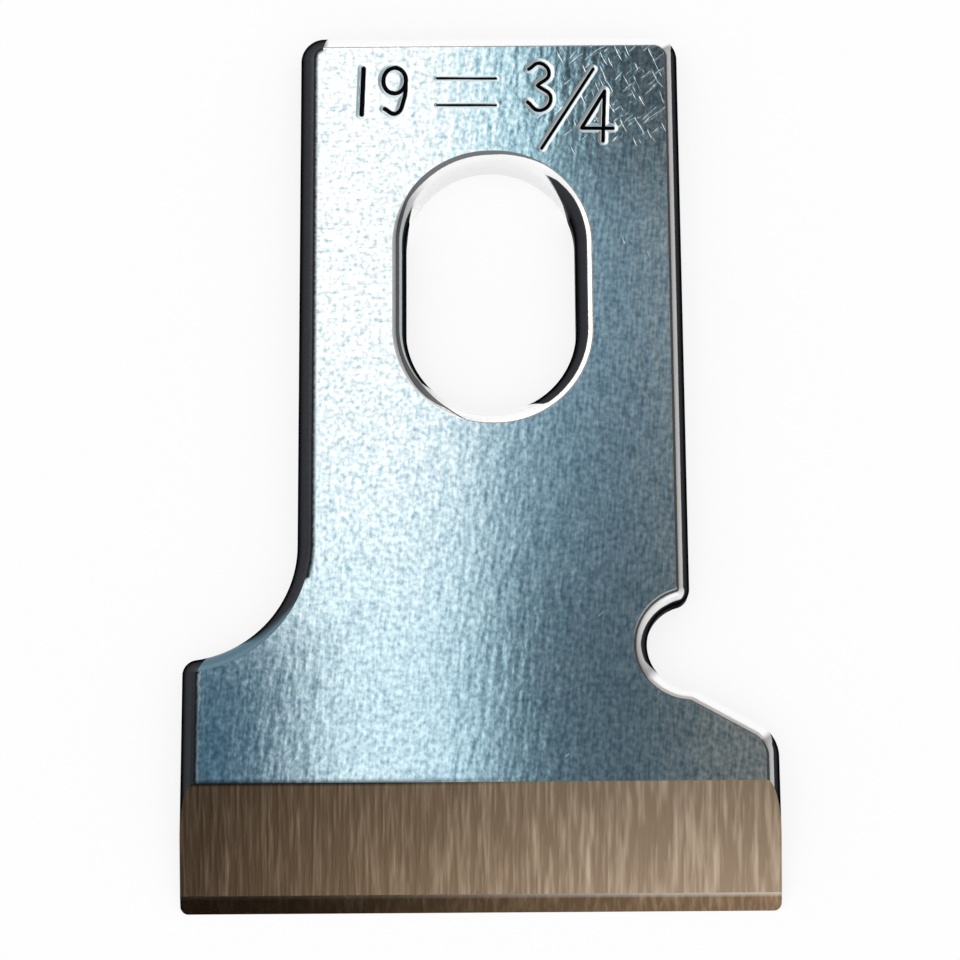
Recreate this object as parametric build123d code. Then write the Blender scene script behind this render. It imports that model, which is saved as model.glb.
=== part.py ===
from build123d import *
import os

# Cutting knife of a buttonhole machine: one flat plate of hardened tool steel. A straight shank with
# a clamping slot widens into a foot, and the foot's lower end is ground to a straight cutting edge.
# Millimetres, lying on its back face. X runs along the cutting edge, +Y towards the shank's top, and
# +Z out of the bevelled face. The origin is under the middle of the plate, on the back face.
# Heights are measured up from the cutting edge until the last step, which centres the knife.

# Plate
plate_thickness = 1.2
total_length = 29.25
cutting_edge_length = 19.05

# Shank, and how far the foot stands out past its left side
shank_width = 12.65
left_overhang = 3.66

# Left shoulder: one large hollow from the shank's side down to the foot's upper edge
shoulder_height = 8.0
shoulder_radius = 3.75

# Right shoulder: a round notch on the line of the shank's side, then a slope down to the foot's end
notch_centre_height = 8.41
notch_radius = 1.4
slope_start_height = 7.03
slope_end_height = 5.5

# Clamping slot on the shank's centre line
slot_centre_height = 20.42
slot_length = 8.5
slot_width = 5.6

# Edges of the bevelled face are tumbled round, and those of the back face are only broken
edge_rounding = 0.45
back_edge_break = 0.1

# Corner radii of the flat face. The outline's own radii are larger by the edge rounding.
shank_corner_radius = 0.35
left_foot_corner_radius = 0.05
right_foot_corner_radius = 0.75
notch_lip_radius = 0.05
notch_base_radius = 0.35

# Bevel ground on the face side only, with a steeper honed band along the cutting edge
bevel_height = 4.0
honed_band_height = 0.55
honed_band_thickness = 0.3
edge_corner_radius = 0.25

# Stock below the cutting edge that grinding takes off, and how far the cutters reach past the plate
grinding_stock = 1.5
cutter_reach = 2.0

# Sides of the foot and of the shank
foot_left = -cutting_edge_length / 2
foot_right = cutting_edge_length / 2
shank_left = foot_left + left_overhang
shank_right = shank_left + shank_width
shank_centre = (shank_left + shank_right) / 2


def block(left, right, low, high):
    """A flat rectangle between two sides and two heights."""
    return Pos((left + right) / 2, (low + high) / 2) * Rectangle(right - left, high - low)


def round_corner(profile, place, face_radius):
    """Rounds the outline's corner nearest to a place, for a given radius on the flat face."""
    corner = profile.vertices().sort_by_distance(place)[0]
    return fillet(corner, face_radius + edge_rounding)


def shoulder_web():
    """The material in the corner between the foot's upper edge and the shank's left side."""
    left = max(foot_left, shank_left - shoulder_radius)
    corner = block(left, shank_left, shoulder_height, shoulder_height + shoulder_radius)
    hollow = Pos(shank_left - shoulder_radius, shoulder_height + shoulder_radius) * Circle(
        shoulder_radius
    )
    return corner - hollow


def blank_outline():
    """The stamped blank in plan, with stock for grinding below the cutting edge."""
    foot = make_face(
        Polyline(
            (foot_left, -grinding_stock),
            (foot_right, -grinding_stock),
            (foot_right, slope_end_height),
            (shank_right, slope_start_height),
            (shank_left, shoulder_height),
            (foot_left, shoulder_height),
            close=True,
        )
    )
    lowest_shoulder = min(slope_start_height, shoulder_height)
    shank = block(shank_left, shank_right, lowest_shoulder, total_length)
    notch = Pos(shank_right, notch_centre_height) * Circle(notch_radius)
    outline = foot + shank + shoulder_web() - notch
    outline = round_corner(outline, (shank_left, total_length), shank_corner_radius)
    outline = round_corner(outline, (shank_right, total_length), shank_corner_radius)
    outline = round_corner(outline, (foot_left, shoulder_height), left_foot_corner_radius)
    outline = round_corner(outline, (foot_right, slope_end_height), right_foot_corner_radius)
    notch_top = (shank_right, notch_centre_height + notch_radius)
    outline = round_corner(outline, notch_top, notch_lip_radius)
    notch_bottom = (shank_right, notch_centre_height - notch_radius)
    return round_corner(outline, notch_bottom, notch_base_radius)


def tumbled_blank():
    """The blank with its clamping slot, its face edges tumbled round and its back edges broken."""
    slot = Pos(shank_centre, slot_centre_height) * SlotOverall(slot_length, slot_width, rotation=90)
    blank = extrude(blank_outline() - slot, plate_thickness)
    blank = fillet(blank.faces().sort_by(Axis.Z)[-1].edges(), edge_rounding)
    return chamfer(blank.faces().sort_by(Axis.Z)[0].edges(), back_edge_break)


def ground_away():
    """What grinding the bevel and honing its lower band take off the face side."""
    above = plate_thickness + cutter_reach
    beyond = -grinding_stock - cutter_reach
    section = make_face(
        Polyline(
            (bevel_height, plate_thickness),
            (honed_band_height, honed_band_thickness),
            (0, 0),
            (0, -cutter_reach),
            (beyond, -cutter_reach),
            (beyond, above),
            (bevel_height, above),
            close=True,
        )
    )
    upright = Plane(origin=(foot_right + cutter_reach, 0, 0), x_dir=(0, 1, 0), z_dir=(1, 0, 0))
    return extrude(upright * section, -(cutting_edge_length + 2 * cutter_reach))


def stoned_envelope():
    """The knife's plan with the two ends of the cutting edge stoned round."""
    plan = block(foot_left, foot_right, 0, total_length + cutter_reach)
    plan = fillet(plan.vertices().group_by(Axis.Y)[0], edge_corner_radius)
    return Pos(0, 0, -cutter_reach) * extrude(plan, plate_thickness + 2 * cutter_reach)


knife = (tumbled_blank() - ground_away()) & stoned_envelope()
knife = Pos(0, -total_length / 2, 0) * knife

os.makedirs("parts", exist_ok=True)
export_step(knife, "parts/buttonhole_knife.step")
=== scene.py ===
# %% [markdown]
# # A buttonhole machine knife
#
# The knife is one flat plate of hardened tool steel, about 29 mm long. It was stamped out of strip
# with its clamping slot, tumbled, hardened, ground bright on its two flat faces, and ground again at
# the foot, where a long bevel and a short honed band meet the back face in a straight cutting edge.
#
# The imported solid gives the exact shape. This lesson builds a finer mesh of it, whose narrow rounded
# edges reflect smoothly and whose size mark is a real groove, and gives each surface its own finish.

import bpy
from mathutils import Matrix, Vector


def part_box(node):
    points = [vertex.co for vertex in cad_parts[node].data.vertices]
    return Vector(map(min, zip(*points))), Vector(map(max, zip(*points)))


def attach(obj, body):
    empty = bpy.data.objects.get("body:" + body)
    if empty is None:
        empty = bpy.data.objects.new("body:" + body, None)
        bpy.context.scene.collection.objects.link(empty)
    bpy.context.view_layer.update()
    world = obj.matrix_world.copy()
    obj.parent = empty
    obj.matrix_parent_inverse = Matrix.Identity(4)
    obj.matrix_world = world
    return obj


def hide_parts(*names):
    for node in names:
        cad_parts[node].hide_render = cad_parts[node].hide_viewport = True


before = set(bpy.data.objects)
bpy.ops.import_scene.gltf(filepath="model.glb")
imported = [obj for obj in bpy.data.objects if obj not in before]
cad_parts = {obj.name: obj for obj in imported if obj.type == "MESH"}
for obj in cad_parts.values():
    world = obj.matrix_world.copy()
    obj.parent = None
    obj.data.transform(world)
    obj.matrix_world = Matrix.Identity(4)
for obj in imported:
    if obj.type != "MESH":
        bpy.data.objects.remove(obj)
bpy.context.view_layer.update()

# %% Modules and units
import math

import bmesh
import bpy
from mathutils import Matrix, Vector
from mathutils.bvhtree import BVHTree
from mathutils.geometry import delaunay_2d_cdt
from mathutils.kdtree import KDTree

MM = 0.001  # metres in a millimetre
NODE = "buttonhole_knife"


def new_object(name, data):
    """An object in the scene with its data."""
    made = bpy.data.objects.new(name, data)
    bpy.context.collection.objects.link(made)
    return made


# %% [markdown]
# ## Sizes
#
# The length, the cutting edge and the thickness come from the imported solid, and the other sizes are
# the ones it was drawn with. Heights are measured up from the cutting edge, as a toolmaker would, and
# `from_height` turns them into the frame's Y, whose zero is at the middle of the length.

# %% Sizes in millimetres
low, high = (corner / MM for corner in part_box(NODE))
total_length = high.y - low.y
cutting_edge_length = high.x - low.x
thickness = high.z - low.z

shank_width = 12.65
left_overhang = 3.66
shoulder_height, shoulder_radius = 8.0, 3.75
notch_centre_height, notch_radius = 8.41, 1.4
slope_start_height, slope_end_height = 7.03, 5.5
slot_centre_height, slot_length, slot_width = 20.42, 8.5, 5.6

edge_rounding = 0.45
slot_spread = 0.27  # how much wider the slot's right edge is rounded, as a share
back_edge_break = 0.1
shank_corner_radius = 0.35
dark_past_corner = 0.15  # of the left corner's scale, along the top edge
left_foot_corner_radius = 0.05
right_foot_corner_radius = 0.75
notch_lip_radius = 0.05
notch_base_radius = 0.35

bevel_height = 4.0
honed_band_height, honed_band_thickness = 0.55, 0.3
edge_corner_radius = 0.25
grinding_stock, stock_corner_radius = 1.5, 0.3

foot_left, foot_right = -cutting_edge_length / 2, cutting_edge_length / 2
shank_left = foot_left + left_overhang
shank_right = shank_left + shank_width
shank_centre = (shank_left + shank_right) / 2


def from_height(height):
    """The frame's Y of a height above the cutting edge, in millimetres."""
    return height - total_length / 2


print(f"Plate {cutting_edge_length:.2f} x {total_length:.2f} x {thickness:.2f} mm")

# %% [markdown]
# ## The outline as a chain of arcs
#
# A stamped outline is straight runs joined by round corners, so it is enough to list the corners. Each
# has a centre, a radius and the two directions between which it turns. Going round with the steel on
# the left, an outer corner turns anticlockwise and a hollow clockwise.
#
# The same outline, drawn in by any distance, is the same list with smaller corners and larger hollows,
# so the rings of a rounded edge line up point by point.

# %% The arcs of the blank
def direction(start, end):
    """The angle from one point to another, in degrees."""
    return math.degrees(math.atan2(end.y - start.y, end.x - start.x))


def blank_arcs(least_radius=0.0):
    """The blank's corners and hollows, anticlockwise from its lower right, with stock for grinding."""
    stock_corner = edge_rounding + stock_corner_radius
    lowest = -grinding_stock + stock_corner
    shank_corner = edge_rounding + shank_corner_radius
    left_corner = edge_rounding + max(least_radius, left_foot_corner_radius)
    right_corner = edge_rounding + right_foot_corner_radius
    lip = edge_rounding + max(least_radius, notch_lip_radius)
    base = edge_rounding + notch_base_radius

    slope_start = Vector((shank_right, slope_start_height))
    slope_end = Vector((foot_right, slope_end_height))
    along_slope = (slope_start - slope_end).normalized()
    out_of_slope = Vector((along_slope.y, -along_slope.x))
    slope_angle = direction(Vector((0, 0)), out_of_slope)

    # The corner at the slope's foot touches the slope and the foot's right side
    side_x = foot_right - right_corner
    on_slope = slope_end - out_of_slope * right_corner
    corner_centre = on_slope + along_slope * (side_x - on_slope.x) / along_slope.x

    # The notch's base touches the slope and the notch, and its lip the shank's side and the notch
    notch = Vector((shank_right, notch_centre_height))
    on_slope = slope_start - out_of_slope * base
    to_notch = notch - on_slope
    reach = math.sqrt((notch_radius + base) ** 2 - to_notch.dot(out_of_slope) ** 2)
    base_centre = on_slope + along_slope * (to_notch.dot(along_slope) - reach)
    lip_rise = math.sqrt((notch_radius + lip) ** 2 - lip**2)
    lip_centre = notch + Vector((-lip, lip_rise))

    # The left corner touches the foot's side and the large hollow above it
    hollow = Vector((shank_left - shoulder_radius, shoulder_height + shoulder_radius))
    aside = foot_left + left_corner - hollow.x
    below = math.sqrt((shoulder_radius + left_corner) ** 2 - aside**2)
    left_centre = hollow + Vector((aside, -below))

    top = total_length - shank_corner
    base_angle = direction(base_centre, notch)
    lip_angle = direction(notch, lip_centre)
    left_angle = direction(left_centre, hollow)
    return [
        (Vector((foot_right - stock_corner, lowest)), stock_corner, -90, 0),
        (corner_centre, right_corner, 0, slope_angle),
        (base_centre, base, slope_angle, base_angle),
        (notch, notch_radius, base_angle + 180, lip_angle),
        (lip_centre, lip, lip_angle - 180, 0),
        (Vector((shank_right - shank_corner, top)), shank_corner, 0, 90),
        # A stop on the straight top edge, where the dark of the left corner ends
        (Vector((shank_left + shank_corner + dark_past_corner, top)), shank_corner, 90, 90),
        (Vector((shank_left + shank_corner, top)), shank_corner, 90, 180),
        (hollow, shoulder_radius, 0, left_angle - 180),
        (left_centre, left_corner, left_angle, 180),
        (Vector((foot_left + stock_corner, lowest)), stock_corner, 180, 270),
    ]


def slot_arcs():
    """The slot's two round ends. The steel lies outside them, so they turn clockwise."""
    radius = slot_width / 2
    reach = slot_length / 2 - radius
    return [
        (Vector((shank_centre, slot_centre_height + reach)), radius, 180, 0),
        (Vector((shank_centre, slot_centre_height - reach)), radius, 0, -180),
    ]


joint_gap = 1e-4


def ring(arcs, inset, spread=0.0, degrees_a_step=3):
    """Places along a chain of arcs that is drawn into the steel, each with its way out of the steel.

    A spread draws the places that face left further in, by that share of the inset.
    """
    places = []
    for centre, radius, start, end in arcs:
        steps = max(1, math.ceil(abs(end - start) / degrees_a_step))
        for step in range(steps + 1):
            angle = math.radians(start + (end - start) * step / steps)
            outwards = Vector((math.cos(angle), math.sin(angle)))
            place = centre + outwards * radius
            if end < start:
                outwards = -outwards
            place -= outwards * inset * (1 + spread * max(0, -outwards.x))
            # Where two arcs touch, the end of one is the start of the next
            if not places or (place - places[-1][0]).length > joint_gap:
                places.append((place, outwards))
    return places


print("Points round the blank:", len(ring(blank_arcs(), 0)))
print("Points round the slot:", len(ring(slot_arcs(), 0)))

# %% [markdown]
# ## The size mark's centre lines
#
# A plain size mark is struck into the face: the cutting length as 19, an equals sign and 3/4, in
# millimetres and inches. A text object and a boolean could cut it, but struck figures are single strokes
# of an even width. So each stroke is drawn as its centre line, and the face gets a fine grid of points
# only where a groove will be pressed into it.
#
# Each point of a curve carries a radius. Here it says how hard the stroke is struck, because the
# equals sign is much finer than the figures.

# %% Strokes of the size mark
STRAIGHT, ROUND = "VECTOR", "AUTO"
OPEN, CLOSED = False, True
# Each stroke's points are to the right of the shank's centre line and down from its top
strokes = [
    (STRAIGHT, OPEN, 1.0, [(-4.21, 1.19), (-4.27, 2.82)]),
    (ROUND, CLOSED, 0.9, [(-3.17, 1.17), (-2.79, 1.60), (-3.17, 2.08), (-3.55, 1.64)]),
    (ROUND, OPEN, 0.9, [(-2.79, 1.62), (-2.86, 2.30), (-3.14, 2.80), (-3.50, 2.63)]),
    (STRAIGHT, OPEN, 0.5, [(-1.75, 1.56), (0.23, 1.58)]),
    (STRAIGHT, OPEN, 0.5, [(-1.75, 2.51), (0.22, 2.53)]),
    (ROUND, OPEN, 0.8, [(1.33, 1.25), (1.70, 1.04), (2.01, 1.41), (1.62, 1.83)]),
    (ROUND, OPEN, 0.8, [(1.62, 1.83), (2.06, 2.28), (1.68, 2.72), (1.28, 2.42)]),
    (STRAIGHT, OPEN, 0.7, [(3.49, 1.26), (1.73, 4.06)]),
    (STRAIGHT, OPEN, 0.8, [(3.86, 2.05), (3.07, 3.36), (4.12, 3.37)]),
    (STRAIGHT, OPEN, 0.8, [(3.86, 2.05), (3.78, 3.82)]),
]

figures_curve = bpy.data.curves.new("size_mark_lines", "CURVE")
figures_curve.dimensions = "3D"
figures_curve.resolution_u = 24
for handles, closed, pressure, points in strokes:
    spline = figures_curve.splines.new("BEZIER")
    spline.bezier_points.add(len(points) - 1)
    spline.use_cyclic_u = closed
    for stop, (right, down) in zip(spline.bezier_points, points):
        stop.co = Vector((shank_centre + right, from_height(total_length) - down, thickness)) * MM
        stop.handle_left_type = stop.handle_right_type = handles
        stop.radius = pressure
figures = new_object("size_mark_lines", figures_curve)

place_spacing = 0.05
lines = figures.to_mesh()
figure_places = []
for line in lines.edges:
    start, end = (lines.vertices[n].co / MM for n in line.vertices)
    steps = math.ceil((end - start).length / place_spacing)
    figure_places += [start.lerp(end, step / steps) for step in range(steps + 1)]
figures.to_mesh_clear()
print("Strokes in the size mark:", len(strokes), "with", len(figure_places), "places on them")

# %% [markdown]
# ## The tumbled blank
#
# Tumbling rounds the edges of the face, and the back's edges are only broken. Both are rings of the
# outline: a quarter circle of them from the face down to the wall, one at the back's edge and one on
# the back face. The flat faces between the blank's ring and the slot's are filled by a constrained
# Delaunay triangulation, which also takes in the fine grid under the size mark. A boolean would make
# the slot as well, but it would leave long thin faces and no room for the mark.
#
# The strip was punched and hardened before its faces were ground, so the edges keep a dark scale. Bright
# bands are painted on it as highlights, and dark lines as painted shade: which band of an edge is bright,
# and how white, is painted after the way that it faces. So a table says for a direction, in degrees,
# where a dark line starts and ends, where the bright steel ends and how white it is, over what width it
# fades and where the scale below it ends. Places are in millimetres down from the face. The last two
# numbers are left out where the bright steel ends sharply and the scale goes all the way down.

# %% Painted bright and dark bands of the edges
whole = 2.0  # more than the way down from the face to the back
nowhere = -0.05
crisp = 0.012
usual_ends = (crisp, whole)
outline_table = (
    (-180, 0, 0, nowhere, 0),
    (-95, 0.05, 0.12, 0.42, 0.85),
    (-60, 0.05, 0.13, 0.42, 0.83),
    (-30, 0.04, 0.11, 0.34, 0.68),
    (0, 0, 0.09, 0.24, 0.44),
    (20, 0, 0.06, 0.27, 0.40),
    (34, 0, 0.05, 0.45, 0.3),
    (44, 0, 0.035, 0.64, 0.97),
    (95, 0, 0.03, 0.64, 0.97),
    (97, 0, 0, 0.64, 0, 0.04),
    (118, 0, 0, 0.62, 0, 0.05),
    (130, 0, 0, 0.22, 0, 0.22),
    (145, 0, 0, 0.08, 0, 0.12),
    (155, 0, 0, nowhere, 0, 0.06),
    (175, 0, 0, nowhere, 0.2, 0.04),
    (180, 0, 0, nowhere, 0),
)
slot_table = (
    (-180, 0, 0.03, 0.135, 0.9),
    (-165, 0, 0.03, 0.135, 0.9),
    (-150, 0, 0.03, 0.135, 0.9, crisp, 0.62),
    (-135, 0, 0.03, 0.18, 0.9, crisp, 0.38),
    (-124, 0, 0.03, 0.30, 1, crisp, 0.20),
    (-114, -0.02, 0.07, whole, 1, crisp, 0.20),
    (-90, -0.05, 0.15, whole, 1, crisp, 0.20),
    (-50, -0.03, 0.17, whole, 1, crisp, 0.25),
    (-44, -0.01, 0.17, 0.42, 0.9, crisp, 0.30),
    (-30, 0.03, 0.14, 0.38, 0.45, 0.03, 0.33),
    (-18, 0.09, 0.22, 0.36, 0.38, crisp, 0.55),
    (0, 0.12, 0.25, 0.36, 0.42),
    (20, 0.12, 0.27, 0.34, 0.5, 0.03),
    (40, 0.07, 0.31, 0.34, 0.6, 0.03),
    (48, 0.07, 0.28, 0.64, 0.8),
    (62, 0.14, 0.20, 0.64, 0.97),
    (75, 0, 0.03, 0.64, 0.97),
    (113, 0, 0.03, 0.64, 0.97),
    (124, 0, 0.03, 0.15, 0.9),
    (180, 0, 0.03, 0.135, 0.9),
)


def bands(table, outwards):
    """The numbers of a table for a way out of the steel, between the two rows nearest to it."""
    angle = math.degrees(math.atan2(outwards.y, outwards.x))
    rows = [row + usual_ends[len(row) - 5 :] for row in table]
    for before, after in zip(rows, rows[1:]):
        if angle <= after[0]:
            share = (angle - before[0]) / (after[0] - before[0])
            return [a + (b - a) * share for a, b in zip(before[1:], after[1:])]


# How far past the foot's and the shank's left side no highlight is painted and the scale covers the edge, and
# the length of its end
covered_at_foot, ending_at_foot = 0.5, 0.35
covered_at_top, ending_at_top = 0.75, 0.2
top_edge = 0.9  # what lies so near to the shank's top belongs to its top edge


def outline_bands(place, outwards):
    """The bands of the blank's edge. Round the two left corners the scale covers all of it."""
    # Round the two left corners no highlight is painted, so the dark scale shows all over
    from_foot_corner = place.x - foot_left - covered_at_foot
    below_top = max(0, total_length - top_edge - place.y)
    from_top_corner = place.x - shank_left - covered_at_top + below_top
    share = max(0, min(1, from_foot_corner / ending_at_foot, from_top_corner / ending_at_top))
    covered = (0, 0, nowhere, 0, crisp, whole)
    return [a + (b - a) * share for a, b in zip(covered, bands(outline_table, outwards))]


def slot_bands(place, outwards):
    """The bands of the slot's edge."""
    return bands(slot_table, outwards)


print("A place on the shank's right side:", bands(outline_table, Vector((1, 0))))

# %% Rings and flat faces
FACE, OUTER_EDGE, SLOT_EDGE, BEVEL, HONED = range(5)
rounding_steps = 16
margin_width = 0.20  # millimetres of the face beside a dark edge that its painted shade creeps over
margin_corner_radius = 0.04
narrow_fading = 0.05  # painted shade of an edge that fades over more than this doesn't creep over the face
same_place = 1e-6  # millimetres between points that count as one
struck_reach = 0.25  # millimetres from a centre line to where the face is flat again
mark_grid = 0.02  # millimetres between the grid's points, about 0.6 of a pixel of the picture


def levels():
    """Inset, Z and way down from the face of each ring, from the flat face to the flat back."""
    rings = []
    for step in range(rounding_steps + 1):
        angle = math.radians(90) * step / rounding_steps
        inset = edge_rounding * (1 - math.sin(angle))
        rings.append((inset, thickness - edge_rounding * (1 - math.cos(angle)), edge_rounding * angle))
    down = rings[-1][2] + thickness - edge_rounding - back_edge_break
    return rings + [(0, back_edge_break, down), (back_edge_break, 0, down + back_edge_break)]


def edge_band(mesh, arcs, bands_at, spread, finish):
    """Joins the rings of one outline with faces. Returns the rings on the face and on the back."""
    upper_bands = mesh.verts.layers.float_vector["upper_bands"]
    lower_bands = mesh.verts.layers.float_vector["lower_bands"]
    down_edge = mesh.verts.layers.float["down_edge"]
    margin = mesh.verts.layers.float["margin"]
    rings = []
    for inset, z, down in levels():
        verts = []
        for place, outwards in ring(arcs, inset, spread if z > thickness - edge_rounding else 0):
            vert = mesh.verts.new((place.x, from_height(place.y), z))
            numbers = bands_at(place, outwards)
            vert[upper_bands], vert[lower_bands] = numbers[:3], numbers[3:]
            vert[down_edge] = down
            # Beside a dark edge the face gets painted shade
            vert[margin] = max(0, vert[upper_bands].z / nowhere) * (numbers[4] < narrow_fading)
            verts.append(vert)
        rings.append(verts)
    for upper, lower in zip(rings, rings[1:]):
        for here in range(len(upper)):
            there = (here + 1) % len(upper)
            face = mesh.faces.new((upper[here], lower[here], lower[there], upper[there]))
            face.material_index = finish
    return rings[0], rings[-1]


def in_slot(place, inset, spread=0.0):
    """Whether a place in plan lies inside the slot's outline drawn out into the steel."""
    reach = (slot_length - slot_width) / 2
    dy = place.y - from_height(slot_centre_height)
    dy -= max(-reach, min(reach, dy))
    from_middle = Vector((place.x - shank_centre, dy))
    drawn = inset * (1 + spread * max(0, from_middle.normalized().x))
    return from_middle.length < slot_width / 2 + drawn


def struck_points():
    """The fine grid of points under the size mark, clear of the slot's rounded edge."""
    near = KDTree(len(figure_places))
    for number, place in enumerate(figure_places):
        near.insert(place, number)
    near.balance()
    left, right = (pick(p.x for p in figure_places) for pick in (min, max))
    lower, upper = (pick(p.y for p in figure_places) for pick in (min, max))
    clear = edge_rounding + mark_grid
    points = []
    for row in range(math.ceil((upper - lower + 2 * struck_reach) / mark_grid)):
        for column in range(math.ceil((right - left + 2 * struck_reach) / mark_grid)):
            x = left - struck_reach + column * mark_grid
            place = Vector((x, lower - struck_reach + row * mark_grid, thickness))
            if near.find(place)[2] < struck_reach and not in_slot(place, clear, slot_spread):
                points.append(place.xy)
    return points


def flat_face(mesh, outer, inner, inset, spread, margin_places, loose_places, upwards):
    """Fills the steel between two rings with triangles, along a margin and through loose places."""
    rim = outer + inner
    places = [v.co.xy for v in rim] + margin_places + loose_places
    edges = []
    first = 0
    for count in (len(outer), len(inner), len(margin_places)):
        edges += [(first + n, first + (n + 1) % count) for n in range(count)]
        first += count
    boundary = [list(range(len(outer)))]
    inside_boundary = 1
    made, _, triangles, origins, _, _ = delaunay_2d_cdt(places, edges, boundary, inside_boundary, same_place)
    z = rim[0].co.z
    verts = []
    for place, origin in zip(made, origins):
        first = origin[0] if origin else len(rim)
        verts.append(rim[first] if first < len(rim) else mesh.verts.new((*place, z)))
    for triangle in triangles:
        corners = [verts[n] for n in triangle]
        middle = sum((v.co for v in corners), Vector()) / 3
        if not in_slot(middle.xy, inset, spread):
            face = mesh.faces.new(corners if upwards else corners[::-1])
            face.material_index = FACE


plate = bmesh.new()
for name in ("upper_bands", "lower_bands"):
    plate.verts.layers.float_vector.new(name)
for name in ("down_edge", "margin"):
    plate.verts.layers.float.new(name)
outer_face, outer_back = edge_band(plate, blank_arcs(), outline_bands, 0, OUTER_EDGE)
slot_face, slot_back = edge_band(plate, slot_arcs(), slot_bands, slot_spread, SLOT_EDGE)
margin_arcs = blank_arcs(margin_width + margin_corner_radius)
margin_places = ring(margin_arcs, edge_rounding + margin_width)
margin_ring = [Vector((place.x, from_height(place.y))) for place, _ in margin_places]
grid = struck_points()
flat_face(plate, outer_face, slot_face, edge_rounding, slot_spread, margin_ring, grid, upwards=True)
flat_face(plate, outer_back, slot_back, back_edge_break, 0, [], [], upwards=False)
print("Blank:", len(plate.verts), "points,", len(plate.faces), "faces")

# %% [markdown]
# ## Grinding the bevel and honing the edge
#
# A grinding wheel takes off everything on one side of a plane, and so does `bisect_plane`. One cut
# makes the long bevel, a steeper one the honed band, and a fan of small upright cuts stones the two
# ends of the cutting edge round. The loop that each cut leaves open is filled flat.
#
# Because the cuts run right through the rounded edges, the bevel's corners come out as on the real
# knife, where the wheel runs out through the tumbled sides.

# %% Cuts
def grind(mesh, place, normal, finish):
    """Takes off what lies outside a plane, fills the cut and gives it a finish."""
    everything = mesh.verts[:] + mesh.edges[:] + mesh.faces[:]
    cut = bmesh.ops.bisect_plane(
        mesh, geom=everything, dist=same_place, plane_co=place, plane_no=normal, clear_outer=True
    )
    rim = [e for e in cut["geom_cut"] if isinstance(e, bmesh.types.BMEdge) and e.is_boundary]
    for face in bmesh.ops.contextual_create(mesh, geom=rim)["faces"]:
        face.material_index = finish
        face.normal_update()
        if face.normal.dot(normal) < 0:
            face.normal_flip()


def plane_normal(lower_height, lower_z, upper_height, upper_z):
    """The outward normal of a plane along X through two places of the knife's section."""
    return Vector((0, lower_z - upper_z, upper_height - lower_height)).normalized()


bevel_normal = plane_normal(honed_band_height, honed_band_thickness, bevel_height, thickness)
honed_normal = plane_normal(0, 0, honed_band_height, honed_band_thickness)
grind(plate, (0, from_height(bevel_height), thickness), bevel_normal, BEVEL)
grind(plate, (0, from_height(0), 0), honed_normal, HONED)

stoning_cuts = 5
for side in (-1, 1):
    for cut_number in range(stoning_cuts):
        angle = math.radians(90) * (cut_number + 0.5) / stoning_cuts
        outwards = Vector((side * math.sin(angle), -math.cos(angle), 0))
        centre = Vector((side * (foot_right - edge_corner_radius), from_height(edge_corner_radius), 0))
        grind(plate, centre + outwards * edge_corner_radius, outwards, OUTER_EDGE)

open_edges = [e for e in plate.edges if not e.is_manifold]
print("Ground plate:", len(plate.faces), "faces,", len(open_edges), "open edges,")
print("volume in cubic mm:", round(plate.calc_volume(), 1))

# %% [markdown]
# ## Sharp and smooth
#
# The rounded edges should shade smoothly, and the lines where two ground surfaces meet should stay
# crisp. The rounding turns by less than 6 degrees at each ring and the bevel line by almost 15, so one
# limit tells the two apart. The face also ends sharply where its edge starts to round, so that its own
# shading is perfectly flat, as a surface grinder leaves it.

# %% A mesh in metres
sharp_above = math.radians(11)
for edge in plate.edges:
    one_finish = len({face.material_index for face in edge.link_faces}) == 1
    edge.smooth = edge.is_manifold and one_finish and edge.calc_face_angle() < sharp_above
for face in plate.faces:
    face.smooth = True
bmesh.ops.triangulate(plate, faces=[f for f in plate.faces if len(f.verts) > 4])
bmesh.ops.scale(plate, vec=(MM, MM, MM), verts=plate.verts)
knife_mesh = bpy.data.meshes.new("knife_plate")
plate.to_mesh(knife_mesh)
plate.free()
knife = new_object("knife_plate", knife_mesh)

# %% [markdown]
# ## How close is it to the solid?
#
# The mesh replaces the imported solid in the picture, so every point of it is measured against the
# solid's surface, and every point of the solid against the mesh. The two agree to within a few
# hundredths of a millimetre. The largest distance is at the slot's right edge, which is rounded a
# little wider here than in the solid, as the photo shows it.

# %% Largest distance to the solid
def largest_distance(measured, surface):
    """The largest distance from one object's points to another's surface, in millimetres."""
    tree = BVHTree.FromObject(surface, bpy.context.evaluated_depsgraph_get())
    return max(tree.find_nearest(v.co)[3] for v in measured.data.vertices) / MM


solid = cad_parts[NODE]
print(f"Mesh to solid: {largest_distance(knife, solid):.4f} mm")
print(f"Solid to mesh: {largest_distance(solid, knife):.4f} mm")

# %% [markdown]
# ## Helpers for node trees
#
# One function adds a node, whatever its kind: it makes the settings, and feeds each input with a
# plain value, a node or one of a node's sockets. Inputs go by name, or in the node's own order: a
# MapRange takes a value, the two ends of its stretch, and what the value becomes there. Kinds are
# written without the word ShaderNode that most of them start with. A second function turns a colour
# as a painter writes it into the linear numbers that light is reckoned in.

# %% Add a node, and read a colour
def adder(tree):
    """The function that adds a node to a tree."""

    def add(kind, inputs=(), operation=None, **settings):
        """Adds a node with its settings and inputs, by their names or in the order of those in use.

        An input takes a plain value, a socket, or a node for its first output in use.
        """
        family = "" if kind.startswith(("GeometryNode", "NodeGroup")) else "ShaderNode"
        node = tree.nodes.new(family + kind)
        if operation:
            node.operation = operation
        for name, value in settings.items():
            setattr(node, name, value)
        if not isinstance(inputs, dict):
            inputs = dict(zip([n for n, socket in enumerate(node.inputs) if socket.enabled], inputs))
        for name, value in inputs.items():
            if isinstance(value, bpy.types.Node):
                value = next(socket for socket in value.outputs if socket.enabled)
            if isinstance(value, bpy.types.NodeSocket):
                tree.links.new(value, node.inputs[name])
            else:
                node.inputs[name].default_value = value
        return node

    return add


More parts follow.
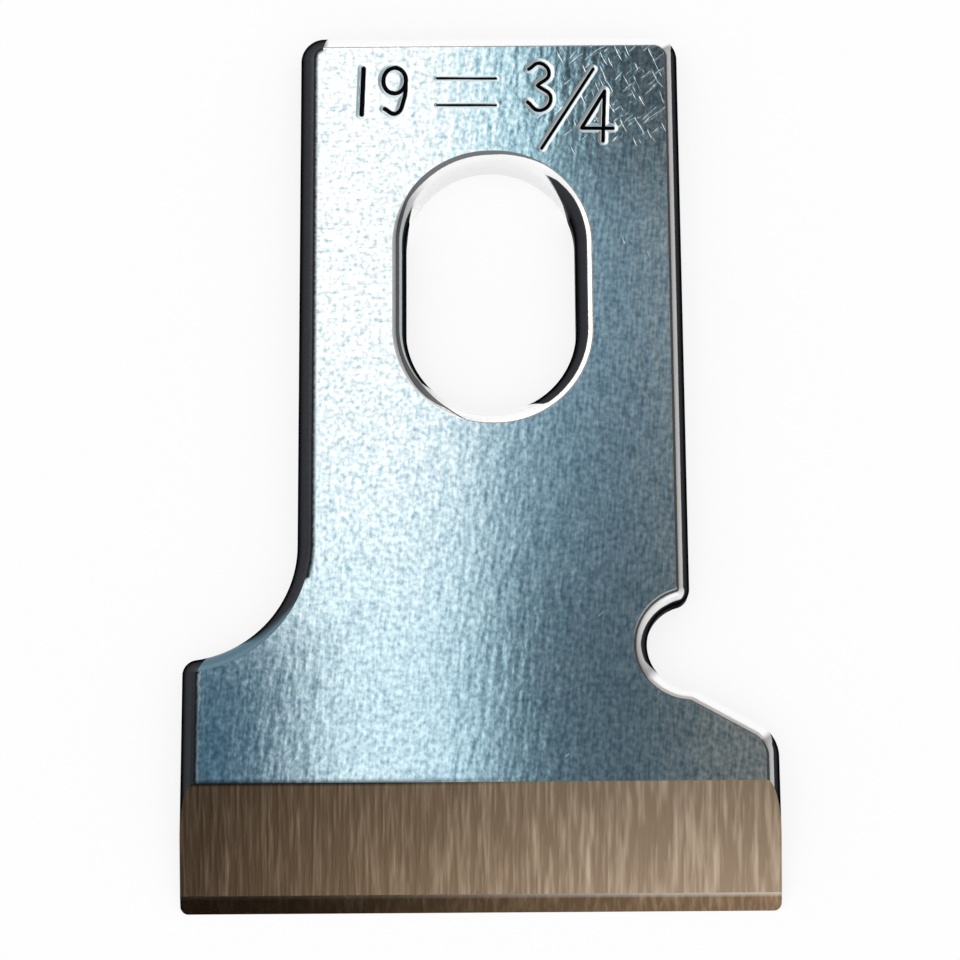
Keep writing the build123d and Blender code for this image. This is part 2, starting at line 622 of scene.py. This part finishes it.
def colour(hex_code):
    """A linear colour with alpha, from an sRGB hex code such as #89aabc."""
    channels = [int(hex_code[n : n + 2], 16) / 255 for n in (1, 3, 5)]
    linear = [c / 12.92 if c <= 0.04045 else ((c + 0.055) / 1.055) ** 2.4 for c in channels]
    return (*linear, 1)


# %% [markdown]
# ## Striking the size mark
#
# A struck figure is a steep narrow groove in a shallow trough, where the punch dragged the steel down.
# The face was ground flat afterwards, so nothing stands above it. A geometry node tree presses both
# into the fine grid: it measures how far each point of the face is from the nearest centre line and how
# hard that line is struck, and lowers the point by the two profiles.

# %% Press the figures into the face
punch_sizes = {
    "Line spacing": place_spacing,
    "Floor half width": 0.045,
    "Groove half width": 0.09,
    "Groove depth": 0.07,
    "Trough half width": 0.23,
    "Trough depth": 0.010,
    "Face height": thickness,
}
same_level = 1e-7  # metres between the face and a point that counts as on it
least_trough = 0.05  # share of the trough's depth from which a face has the struck finish


def striking_tree():
    """A geometry node tree that lowers the face along centre lines, as a punch does."""
    tree = bpy.data.node_groups.new("struck_figures", "GeometryNodeTree")
    add = adder(tree)
    sockets = {"Geometry": "Geometry", "Figures": "Object", "Groove finish": "Material"}
    sockets |= dict.fromkeys(punch_sizes, "Float")
    for name, kind in sockets.items():
        tree.interface.new_socket(name, in_out="INPUT", socket_type="NodeSocket" + kind)
    tree.interface.new_socket("Geometry", in_out="OUTPUT", socket_type="NodeSocketGeometry")
    given = add("NodeGroupInput").outputs

    # The centre lines as wires, with each place's pressure kept from the curve's radius
    store = "GeometryNodeStoreNamedAttribute"
    lines = add("GeometryNodeObjectInfo", {"Object": given["Figures"]}).outputs["Geometry"]
    radius = add("GeometryNodeInputRadius")
    kept = add(store, {"Geometry": lines, "Name": "pressure", "Value": radius})
    spacing = given["Line spacing"]
    even = add("GeometryNodeResampleCurve", {"Curve": kept, "Length": spacing}, mode="LENGTH")
    wires = add("GeometryNodeCurveToMesh", {"Curve": even})
    stored = add("GeometryNodeInputNamedAttribute", {"Name": "pressure"})
    nearest = add("GeometryNodeSampleNearest", {"Geometry": wires})
    pressure = add("GeometryNodeSampleIndex", {"Geometry": wires, "Value": stored, "Index": nearest})
    near = add("GeometryNodeProximity", {"Geometry": wires}, target_element="EDGES")
    distance = add("Math", (near.outputs["Distance"], pressure), "DIVIDE")

    # Only the flat face is struck, not the edges and the back below it
    position = add("GeometryNodeInputPosition")
    height = add("SeparateXYZ", (position,)).outputs["Z"]
    below_face = add("Math", (given["Face height"], height), "SUBTRACT")
    on_face = add("Math", (below_face, same_level), "LESS_THAN")

    # The share of each depth is stored before the face moves, for the choice of faces and the finish
    marked, deep = given["Geometry"], 0.0
    for part, inner in (("Groove", "Floor half width"), ("Trough", "Groove half width")):
        slope = (distance, given[inner], given[part + " half width"], 1.0, 0.0)
        share = add("MapRange", slope, interpolation_type="SMOOTHSTEP")
        share = add("Math", (share, on_face), "MULTIPLY")
        deep = add("Math", (share, given[part + " depth"], deep), "MULTIPLY_ADD")
        marked = add(store, {"Geometry": marked, "Name": part.lower(), "Value": share})
    down = add("Math", (deep, pressure), "MULTIPLY")
    lowered = add("Math", (down, -1.0), "MULTIPLY")
    offset = add("CombineXYZ", {"Z": lowered})
    struck = add("GeometryNodeSetPosition", {"Geometry": marked, "Offset": offset})
    real = add("GeometryNodeRealizeInstances", {"Geometry": struck})
    trough = add("GeometryNodeInputNamedAttribute", {"Name": "trough"})
    in_trough = add("Math", (trough, least_trough), "GREATER_THAN")
    finish = {"Selection": in_trough, "Material": given["Groove finish"]}
    finished = add("GeometryNodeSetMaterial", {"Geometry": real, **finish})
    add("NodeGroupOutput", {"Geometry": finished})
    return tree


# %% [markdown]
# ## Finishes
#
# Grinding, honing and punching leave fine marks that all run one way. A noise texture stretched along
# the marks gives them. In a Mapping node of the Texture type, the scale is the size of the pattern
# itself, so a mark's size is written straight in millimetres. Real marks go down to a hundredth of a
# millimetre, which is less than a pixel of the picture, so they are drawn as coarse as they need to show.

# %% Marks of a wheel, a stone or a punch
def place_in_mm(add):
    """The object's own coordinates in millimetres, and their X and Y by themselves."""
    place = add("TexCoord").outputs["Object"]
    place = add("VectorMath", (place, (1 / MM,) * 3), "MULTIPLY")
    x, y, _ = add("SeparateXYZ", (place,)).outputs
    return place, x, y


def marks(add, place, size, detail=2.0, shift=0.0, turn=0.0):
    """A noise whose marks measure a size along X, Y and Z, in millimetres, turned by some degrees."""
    pattern = {"Location": (shift, shift, shift), "Rotation": (0, 0, math.radians(turn)), "Scale": size}
    mapping = add("Mapping", {"Vector": place, **pattern}, vector_type="TEXTURE")
    return add("TexNoise", {"Vector": mapping, "Scale": 1.0, "Detail": detail})


def past(add, value, border, width):
    """1 where a value is past a border and 0 before it, eased over a width on both sides."""
    way = add("Math", (value, border), "SUBTRACT")
    widths = add("Math", (way, width), "DIVIDE")
    return add("MapRange", (widths, -1.0, 1.0), interpolation_type="SMOOTHSTEP")


def finish_of(name):
    """A new material, and the function that adds nodes to its empty tree."""
    material = bpy.data.materials.new(name)
    material.use_nodes = True
    material.node_tree.nodes.clear()
    return material, adder(material.node_tree)


# %% [markdown]
# ### Surface-ground face
#
# A ground tool steel face is bright but not a mirror, with the cold blue cast of bare steel. The wheel
# crossed it both ways: at the shank's upper left the marks across show, and elsewhere the upright ones.
# Tiny slopes scatter the light of the window, so the face sparkles most where light turns to dark.
# Here and there a stray scratch runs askew, and along the left side painted shade, as dark as the scale,
# creeps over the rim.

# %% Surface-ground face
def surface_ground_steel():
    """Bluish bright steel with a fine pattern of crossed grinding marks."""
    material, add = finish_of("surface_ground_tool_steel")
    place, x, y = place_in_mm(add)
    # Each share grows from 0 to 1 between two places, along X or up the knife
    share = {
        name: add("MapRange", stretch)
        for name, *stretch in (
            ("left", x, 0.0, -4.0),
            ("right half", x, -3.0, 2.0),
            ("right of the 19", x, -3.5, 0.0),
            ("right side", x, 1.5, 4.0),
            ("above the bevel", y, from_height(bevel_height), from_height(bevel_height + 0.16)),
            ("far up", y, from_height(13), from_height(20)),
            ("top", y, from_height(24), from_height(26)),
        )
    }
    upper_left, gripped, beside_sign = (
        add("Math", (share[aside], share[up]), "MULTIPLY")
        for aside, up in (("left", "far up"), ("right side", "top"), ("right of the 19", "top"))
    )
    upright = marks(add, place, (0.085, 0.65, 1), detail=1.5, shift=11.0, turn=-5)
    across = marks(add, place, (0.60, 0.085, 1), detail=1.5, shift=3.0)
    speckle = marks(add, place, (0.15, 0.16, 1), detail=1.5, shift=29.0)
    wheel = add("Mix", (upper_left, upright, across))
    # Along the foot's left end and the whole right side the wheel's own marks show most
    from_middle = add("Math", (x, 2.0), "ADD")
    from_middle = add("Math", (from_middle,), "ABSOLUTE")
    wheel_share = add("MapRange", (from_middle, 2.0, 5.5, 0.45, 0.8))
    wheel = add("Math", (wheel, wheel_share), "MULTIPLY")
    relief = add("Math", (speckle, wheel), "ADD")
    middle = add("Math", (wheel_share, 0.5, 0.5), "MULTIPLY_ADD")
    relief = add("Math", (relief, middle), "SUBTRACT")

    # Stray scratches are rare but for the top right, where the knife has been gripped
    scratches = 0.0
    for turn, shift in ((-52, 5.0), (24, 41.0)):
        lines = marks(add, place, (0.11, 0.75, 1), detail=0.5, shift=shift, turn=turn)
        more = add("Math", (gripped, 0.18, lines), "MULTIPLY_ADD")
        rare = add("MapRange", (more, 0.80, 0.92), interpolation_type="SMOOTHSTEP")
        scratches = add("Math", (rare, scratches), "MAXIMUM")

    tone = add("MapRange", (relief, -0.31, 0.31))
    tint = add("Mix", (tone, colour("#7f99a8"), colour("#d9e7ed")), data_type="RGBA")
    # Beside the bevel's left half the face is dulled
    bright = add("Math", (share["above the bevel"], share["right half"]), "MAXIMUM")
    tint = add("Mix", (bright, colour("#4d565b"), tint), data_type="RGBA")
    # Along the left side painted shade, as dark as the scale, creeps over the face's rim
    margin = add("Attribute", attribute_name="margin").outputs["Fac"]
    ragged = add("Math", (speckle, 0.5, margin), "MULTIPLY_ADD")
    shaded_rim = add("MapRange", (ragged, 0.28, 1.05), interpolation_type="SMOOTHSTEP")
    tint = add("Mix", (shaded_rim, tint, colour("#24282d")), data_type="RGBA")
    roughness = add("MapRange", (shaded_rim, 0.0, 1.0, 0.12, 0.45))
    # The slopes that scatter the window's light are broader than the marks themselves
    slopes = marks(add, place, (0.28, 0.9, 1), detail=1.0, shift=53.0, turn=-8)
    slopes = add("Math", (speckle, 0.3, slopes), "MULTIPLY_ADD")
    # At the top they are steeper from the equals sign to the right side
    steeper = add("Math", (beside_sign, 0.8, 1.0), "MULTIPLY_ADD")
    slopes = add("Math", (slopes, steeper), "MULTIPLY")
    marked = add("Math", (scratches, 0.7, slopes), "MULTIPLY_ADD")
    bump = add("Bump", {"Strength": 1.0, "Distance": 0.0040 * MM, "Height": marked})
    look = {"Base Color": tint, "Metallic": 1.0, "Roughness": roughness, "Normal": bump}
    add("OutputMaterial", (add("BsdfPrincipled", look),))
    return material


# %% [markdown]
# ### Tumbled edges with their scale
#
# The dark scale of the edges is almost black, with fine marks where the punch dragged down the wall, and
# it is worn a little lighter towards the face. The bands of the table, painted highlights and painted
# shade, are drawn with a ragged border. A painted highlight that isn't white is grey, but on the left
# shoulder it has the face's blue. At the top of the slot the wall is painted white and matt, so there it
# scatters light.

# %% Tumbled edges
def scaled_steel(name, highlight_left, highlight, matt_from):
    """Dark scaled steel with its points' bands, which are matt above a height.

    A painted highlight that isn't white has the first highlight colour on the left shoulder and the second
    elsewhere.
    """
    material, add = finish_of(name)
    place, x, y = place_in_mm(add)
    grain = marks(add, place, (0.05, 0.05, 0.5), detail=3.0)
    numbers = []
    for stored in ("upper_bands", "lower_bands"):
        vector = add("Attribute", attribute_name=stored).outputs["Vector"]
        numbers += add("SeparateXYZ", (vector,)).outputs
    line_start, line_end, bright_end, whiteness, fading, scale_end = numbers
    down = add("Attribute", attribute_name="down_edge").outputs["Fac"]
    uneven = add("Math", (grain, 0.03, down), "MULTIPLY_ADD")
    ragged = add("Math", (uneven, 0.015), "SUBTRACT")

    # The bright bands are painted highlights, placed and whitened by the table after the way the edge faces
    before_line, before_line_end, bright, above_scale_end = (
        past(add, border, ragged, width)
        for border, width in ((line_start, crisp), (line_end, crisp), (bright_end, fading), (scale_end, 0.04))
    )
    in_line = add("Math", (before_line_end, before_line), "SUBTRACT")
    # The dark line is painted shade, a thin coat through which a little of the bright steel shows
    in_line = add("Math", (in_line, 0.86), "MULTIPLY")
    bright = add("Math", (bright, in_line), "SUBTRACT", use_clamp=True)
    below_scale = add("Math", (1.0, above_scale_end), "SUBTRACT")
    bright, whiteness = (add("Math", (upper, below_scale), "MAXIMUM") for upper in (bright, whiteness))

    wear = add("MapRange", (down, 0.0, 0.5, 1.0, 0.0))
    wear = add("Math", (wear, grain), "MULTIPLY")
    scale = add("Mix", (wear, colour("#29292b"), colour("#4b4f55")), data_type="RGBA")
    # The painted highlight is blue on the left shoulder, grey elsewhere, and white where the table says
    off_shoulder = add("MapRange", (x, -6, -5))
    painted_highlight = add("Mix", (off_shoulder, colour(highlight_left), colour(highlight)), data_type="RGBA")
    painted_highlight = add("Mix", (whiteness, painted_highlight, colour("#ffffff")), data_type="RGBA")
    tint = add("Mix", (bright, scale, painted_highlight), data_type="RGBA")
    bump = add("Bump", {"Strength": 0.5, "Distance": 0.004 * MM, "Height": grain})
    # Scale stays dark even where it is seen at a flat angle
    at_flat_angle = add("Mix", (bright, colour("#4c4e54"), (1, 1, 1, 1)), data_type="RGBA")
    # The whiter the steel is rubbed, the smoother it is
    roughness = add("MapRange", (whiteness, 0.6, 0.97, 0.36, 0.25))
    matt, all_matt = from_height(matt_from), from_height(matt_from + 0.7)
    metallic = add("MapRange", (y, matt, all_matt, 1.0, 0.0))
    look = {"Base Color": tint, "Metallic": metallic, "Roughness": roughness, "Normal": bump}
    shader = add("BsdfPrincipled", {"Specular Tint": at_flat_angle, **look})
    add("OutputMaterial", (shader,))
    return material


# %% [markdown]
# ### Ground bevel and honed band
#
# The bevel was ground with the wheel running up the slope, so its marks are thin upright lines, most
# of them some millimetres long. It has the warm brownish cast of fresh-ground hardened steel. The
# honed band is finer.

# %% Ground bevel and honed band
def wheel_ground_steel(name, dark, light, mark_length, depth, top):
    """Warm grey steel with upright grinding marks, which ends in a thin line at its top.

    The line is given by its height, width and colour, and its strength at the left and at the right.
    """
    material, add = finish_of(name)
    place, x, y = place_in_mm(add)
    broad = marks(add, place, (0.35, 2 * mark_length, 1), shift=5.0)
    thin = marks(add, place, (0.17, mark_length, 1), detail=1.0, shift=17.0)
    hair = marks(add, place, (0.11, mark_length / 3, 1), detail=1.0, shift=31.0)
    lines = add("Math", (hair, 0.5, thin), "MULTIPLY_ADD")
    relief = add("Math", (broad, 0.6, lines), "MULTIPLY_ADD")
    tone = add("MapRange", (relief, 0.97, 1.45))
    tint = add("Mix", (tone, colour(dark), colour(light)), data_type="RGBA")
    top_height, top_width, top_colour, left, right = top
    near_top = add("MapRange", (y, from_height(top_height - top_width), from_height(top_height)))
    along = add("MapRange", (x, -3.0, 2.0, left, right))
    in_line = add("Math", (near_top, along), "MULTIPLY")
    tint = add("Mix", (in_line, tint, colour(top_colour)), data_type="RGBA")
    bump = add("Bump", {"Strength": 1.0, "Distance": depth * MM, "Height": lines})
    look = {"Base Color": tint, "Metallic": 1.0, "Roughness": 0.20, "Normal": bump}
    add("OutputMaterial", (add("BsdfPrincipled", look),))
    return material


# %% [markdown]
# ### Struck figures
#
# Grinding passes over the figures, so the steep grooves keep their dark scale and a little dirt, and
# their black also holds painted shade. The shallow troughs beside them are smooth and bright.

# %% Struck figures
def struck_steel():
    """Black in the groove and bright in the trough beside it."""
    material, add = finish_of("struck_figures")
    groove = add("Attribute", attribute_name="groove").outputs["Fac"]
    depth = add("MapRange", (groove, 0.05, 0.45), interpolation_type="SMOOTHSTEP")
    # The groove's black is its scale and dirt, with painted shade deep in it
    tint = add("Mix", (depth, colour("#cbd7dd"), colour("#08080a")), data_type="RGBA")
    shader = add("BsdfPrincipled", {"Base Color": tint, "Metallic": 1.0, "Roughness": 0.2})
    add("OutputMaterial", (shader,))
    return material


# %% [markdown]
# ## Dressing and striking the plate
#
# The finishes are added in the order of the numbers that the faces carry. Then the tree presses the
# figures as a modifier, whose inputs are set by each socket's identifier. Its result is kept as a plain
# mesh, which other programs can read too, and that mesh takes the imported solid's place.

# %% Dress and strike the plate
bevel_line = (bevel_height, 0.12, "#251e18", 1, 0)
honed_line = (honed_band_height, 0.14, "#f2e4d0", 0.6, 0.9)
for finish in (
    surface_ground_steel(),
    scaled_steel("tumbled_outline_edge", "#5c7886", "#666668", matt_from=total_length),
    scaled_steel("tumbled_slot_edge", "#616a70", "#616a70", matt_from=22.8),
    wheel_ground_steel("wheel_ground_bevel", "#947e68", "#c4ae95", 2.8, depth=0.004, top=bevel_line),
    wheel_ground_steel("honed_band", "#937558", "#c2a384", 0.9, depth=0.001, top=honed_line),
):
    knife.data.materials.append(finish)

strike = knife.modifiers.new("struck figures", "NODES")
strike.node_group = striking_tree()
strike_inputs = {name: size * MM for name, size in punch_sizes.items()}
strike_inputs |= {"Figures": figures, "Groove finish": struck_steel()}
for item in strike.node_group.interface.items_tree:
    if item.in_out == "INPUT" and item.name in strike_inputs:
        strike[item.identifier] = strike_inputs[item.name]
struck_mesh = bpy.data.meshes.new_from_object(knife.evaluated_get(bpy.context.evaluated_depsgraph_get()))
knife.modifiers.clear()
knife.data = struck_mesh
bpy.data.objects.remove(figures)
print("Knife:", len(struck_mesh.polygons), "faces and", len(struck_mesh.materials), "finishes")

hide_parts(NODE)
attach(knife, "root")

# %% [markdown]
# ## Camera
#
# The picture was taken from almost straight above, tilted a little towards the cutting edge. The
# camera's place, tilt and roll are named values, and its lens follows from how large the knife shows.

# %% Camera
camera_place = Vector((0.061, -23.317, 93.909)) * MM
camera_tilt = math.radians(13.65)
camera_roll = math.radians(-0.4)
lens_mm = 110.39

camera_data = bpy.data.cameras.new("camera")
camera_data.lens = lens_mm
camera_data.sensor_width = 36
camera_data.clip_start = 1 * MM
camera_data.clip_end = 10
camera = new_object("camera", camera_data)
camera.matrix_world = (
    Matrix.Translation(camera_place)
    @ Matrix.Rotation(camera_tilt, 4, "X")
    @ Matrix.Rotation(camera_roll, 4, "Z")
)
bpy.context.scene.camera = camera

# %% [markdown]
# ## Cards for the metal to mirror
#
# Bright metal shows what is around it, so lighting it is mostly a matter of placing white and dark
# cards, as a product photographer does. The flat face, the bevel and the honed band each mirror another
# direction, so each gets a card of its own, which only reflections see.
#
# To place a card, a view of the camera is followed to a place of the knife and off its surface, up to
# the card's height. Each corner of the card's grid remembers the place that mirrors it, so the light
# on a card is written in the knife's own millimetres.

# %% Cards that know where they are mirrored
def mirrored_place(x, height, surface_z, normal, card_z):
    """Where a view of the camera, mirrored at a place of the knife, reaches a height. Millimetres."""
    place = Vector((x, from_height(height), surface_z))
    view = (place - camera_place / MM).normalized()
    mirrored = view - 2 * view.dot(normal) * normal
    return place + mirrored * ((card_z - surface_z) / mirrored.z)


def card(name, heights, surface_z, normal, card_z, material):
    """A card that the knife mirrors over a stretch of heights and well past its two sides."""
    low_end, high_end = heights
    columns, rows, half_width = 24, 24, 30
    seen_at = [
        (half_width * (2 * column / columns - 1), low_end + (high_end - low_end) * row / rows, 0)
        for row in range(rows + 1)
        for column in range(columns + 1)
    ]
    places = [mirrored_place(x, height, surface_z, normal, card_z) * MM for x, height, _ in seen_at]
    starts = [row * (columns + 1) + column for row in range(rows) for column in range(columns)]
    mesh = bpy.data.meshes.new(name)
    mesh.from_pydata(places, [], [(n, n + 1, n + columns + 2, n + columns + 1) for n in starts])
    mesh.attributes.new("seen_at", "FLOAT_VECTOR", "POINT").data.foreach_set(
        "vector", [value for place in seen_at for value in place]
    )
    mesh.materials.append(material)
    made = new_object(name, mesh)
    made.visible_camera = made.visible_diffuse = made.visible_shadow = False
    across = [place.y / MM for place in places]
    print(f"Card {name} reaches from Y {min(across):.0f} to {max(across):.0f} mm")


def glowing(name, light_of):
    """A light whose colour a function reckons from where on the knife it is mirrored."""
    material, add = finish_of(name)
    seen_at = add("Attribute", attribute_name="seen_at").outputs["Vector"]
    seen_at = add("SeparateXYZ", (seen_at,)).outputs
    light = add("Emission", {"Color": light_of(add, seen_at["X"], seen_at["Y"])})
    material.cycles.emission_sampling = "NONE"  # only reflections find a card
    add("OutputMaterial", (light,))
    return material


# %% [markdown]
# ### The window above the face
#
# The face mirrors a window. Along the foot it is soft, with the dark of the room on both sides of it.
# Further up it is sharper and brighter, and along the shank it reaches past the left side.

# %% Window
def window_light(add, x, height):
    """White between the window's two sides, and a dark blue room around them."""
    # Each number changes between two places, along X or up the knife, from one value to another
    number = {
        name: add("MapRange", stretch, interpolation_type=curve)
        for name, curve, *stretch in (
            ("left side", "SMOOTHSTEP", height, 8.5, 14, -5.68, -24),
            ("right side", "SMOOTHSTEP", height, 13, 26, 0.4, 2.35),
            ("softness", "LINEAR", height, 12, 25, 1.4, 0.3),
            ("up the window", "LINEAR", height, 8, 20),
            ("right part", "LINEAR", x, -2.0, 2.5),
            ("past the window", "LINEAR", x, -7.0, 4.0),
            ("far right", "LINEAR", x, 5.4, 8.0),
            ("halfway up", "LINEAR", height, 9.5, 19.5, 1.0, 1.78),
            ("at the top", "LINEAR", height, 23, 26, 1.0, 0.29),
            ("beside the window", "LINEAR", x, 5.5, 1.0, 0, 0.8),
            ("above the foot", "LINEAR", height, 8, 12),
        )
    }

    lit = 1.0
    for value, border in ((x, number["left side"]), (number["right side"], x)):
        inside = past(add, value, border, number["softness"])
        lit = add("Math", (inside, lit), "MULTIPLY")
    low_light, high_light = (1.4, 1.5, 1.49, 1), (2.25, 1.92, 1.74, 1)
    daylight = add("Mix", (number["up the window"], low_light, high_light), data_type="RGBA")
    # The window's right part shows a bluer and dimmer sky
    full, dim = (1, 1, 1, 1), (0.26, 0.59, 0.72, 1)
    dimming = add("Mix", (number["right part"], full, dim), data_type="RGBA")
    daylight = add("VectorMath", (daylight, dimming), "MULTIPLY")

    # The room is blue, greyer past the window and warm at the far right
    room = colour("#4d7285")
    for name, further in (("past the window", "#66757d"), ("far right", "#979189")):
        room = add("Mix", (number[name], room, colour(further)), data_type="RGBA")
    # Above the foot it is lighter beside the window. It is lightest halfway up and dark at the top
    beside, above_foot = number["beside the window"], number["above the foot"]
    level = add("Math", (beside, above_foot, 1.0), "MULTIPLY_ADD")
    for name in ("halfway up", "at the top"):
        level = add("Math", (level, number[name]), "MULTIPLY")
    room = add("VectorMath", (room, level), "MULTIPLY")
    return add("Mix", (lit, room, daylight), data_type="RGBA").outputs[2]


UP = Vector((0, 0, 1))
window_and_room = glowing("window_and_room", window_light)
card("window_card", (-8, 34), surface_z=thickness, normal=UP, card_z=70, material=window_and_room)

# %% [markdown]
# ### The cards in front of the bevel
#
# The bevel and the honed band lean towards the camera's side and mirror the room there, which grows
# lighter from left to right and from the bevel's top to its low end.

# %% Front cards
def ramp_light(left, right, top):
    """A light that grows from one x and level to another, and changes to a share of it at the top."""

    def light_of(add, x, height):
        level = 1.0
        for stretch in (
            (x, left[0], right[0], left[1], right[1]),
            (height, 0.0, bevel_height, 1.0, top),
            (height, 0.5, 1.6, 1.42, 1.0),
        ):
            level = add("Math", (level, add("MapRange", stretch)), "MULTIPLY")
        to_the_right = add("MapRange", (x, -6.0, 4.0))
        warm, cold = (1, 0.91, 0.80, 1), (0.96, 1, 1.04, 1)
        hue = add("Mix", (to_the_right, warm, cold), data_type="RGBA")
        return add("VectorMath", (hue, level), "MULTIPLY")

    return light_of


front_room = glowing("front_room", ramp_light((-10, 0.07), (5.5, 1.12), 0.52))
low_front_room = glowing("low_front_room", ramp_light((-3.5, 0.0), (10, 0.65), 1.0))
card("bevel_card", (-18, 14), surface_z=0.7, normal=bevel_normal, card_z=66, material=front_room)
card("honed_card", (-40, 8), surface_z=0.15, normal=honed_normal, card_z=40, material=low_front_room)

# %% [markdown]
# ## Floor, surroundings and lamp
#
# The floor is white paper and the surroundings are white. For the camera and for reflections four
# fifths of the paper's look are its plain white, so the shadow stays but is faint, as in a bright photo.
# A large weak lamp at the shank's upper left gives that shadow its side.

# %% Floor, surroundings and lamp
def seen_by_eye(add):
    """1 for a ray that the camera sends, or that metal or glass sends on, and 0 for any other."""
    path = add("LightPath").outputs
    seen = add("Math", (path["Is Camera Ray"], path["Is Glossy Ray"]), "MAXIMUM")
    return add("Math", (seen, path["Is Transmission Ray"]), "MAXIMUM")


white_paper, add = finish_of("white_paper")
plain_share = add("Math", (seen_by_eye(add), 0.8), "MULTIPLY")
paper = add("BsdfDiffuse", {"Color": colour("#fbfbfb")})
plain_white = add("Emission", {"Color": (1, 1, 1, 1), "Strength": 1.0})
look = add("MixShader", (plain_share, paper, plain_white))
add("OutputMaterial", (look,))
white_paper.cycles.emission_sampling = "NONE"
floor_mesh = bpy.data.meshes.new("floor")
below_knife = -0.01 * MM
corners = [(x, y, below_knife) for x, y in ((-1, -1), (1, -1), (1, 1), (-1, 1))]
floor_mesh.from_pydata(corners, [], [(0, 1, 2, 3)])
floor_mesh.materials.append(white_paper)
floor = new_object("floor", floor_mesh)

world = bpy.data.worlds.new("white_surroundings")
bpy.context.scene.world = world
world.use_nodes = True
world.node_tree.nodes.clear()
add = adder(world.node_tree)
diffuse_level = 0.97  # of the white surroundings as a light on the paper and the knife
level = add("MapRange", (seen_by_eye(add), 0.0, 1.0, diffuse_level, 1.0))
background = add("Background", {"Color": (1, 1, 1, 1), "Strength": level})
add("OutputWorld", (background,))

lamp_data = bpy.data.lights.new("soft_lamp", "AREA")
lamp_data.shape = "SQUARE"
lamp_data.size = 160 * MM
lamp_data.energy = 0.02
lamp = new_object("soft_lamp", lamp_data)
lamp.location = Vector((-120, 160, 260)) * MM
lamp.rotation_euler = (-lamp.location).to_track_quat("-Z", "Y").to_euler()
lamp.visible_glossy = False

bpy.context.scene.view_settings.view_transform = "Standard"
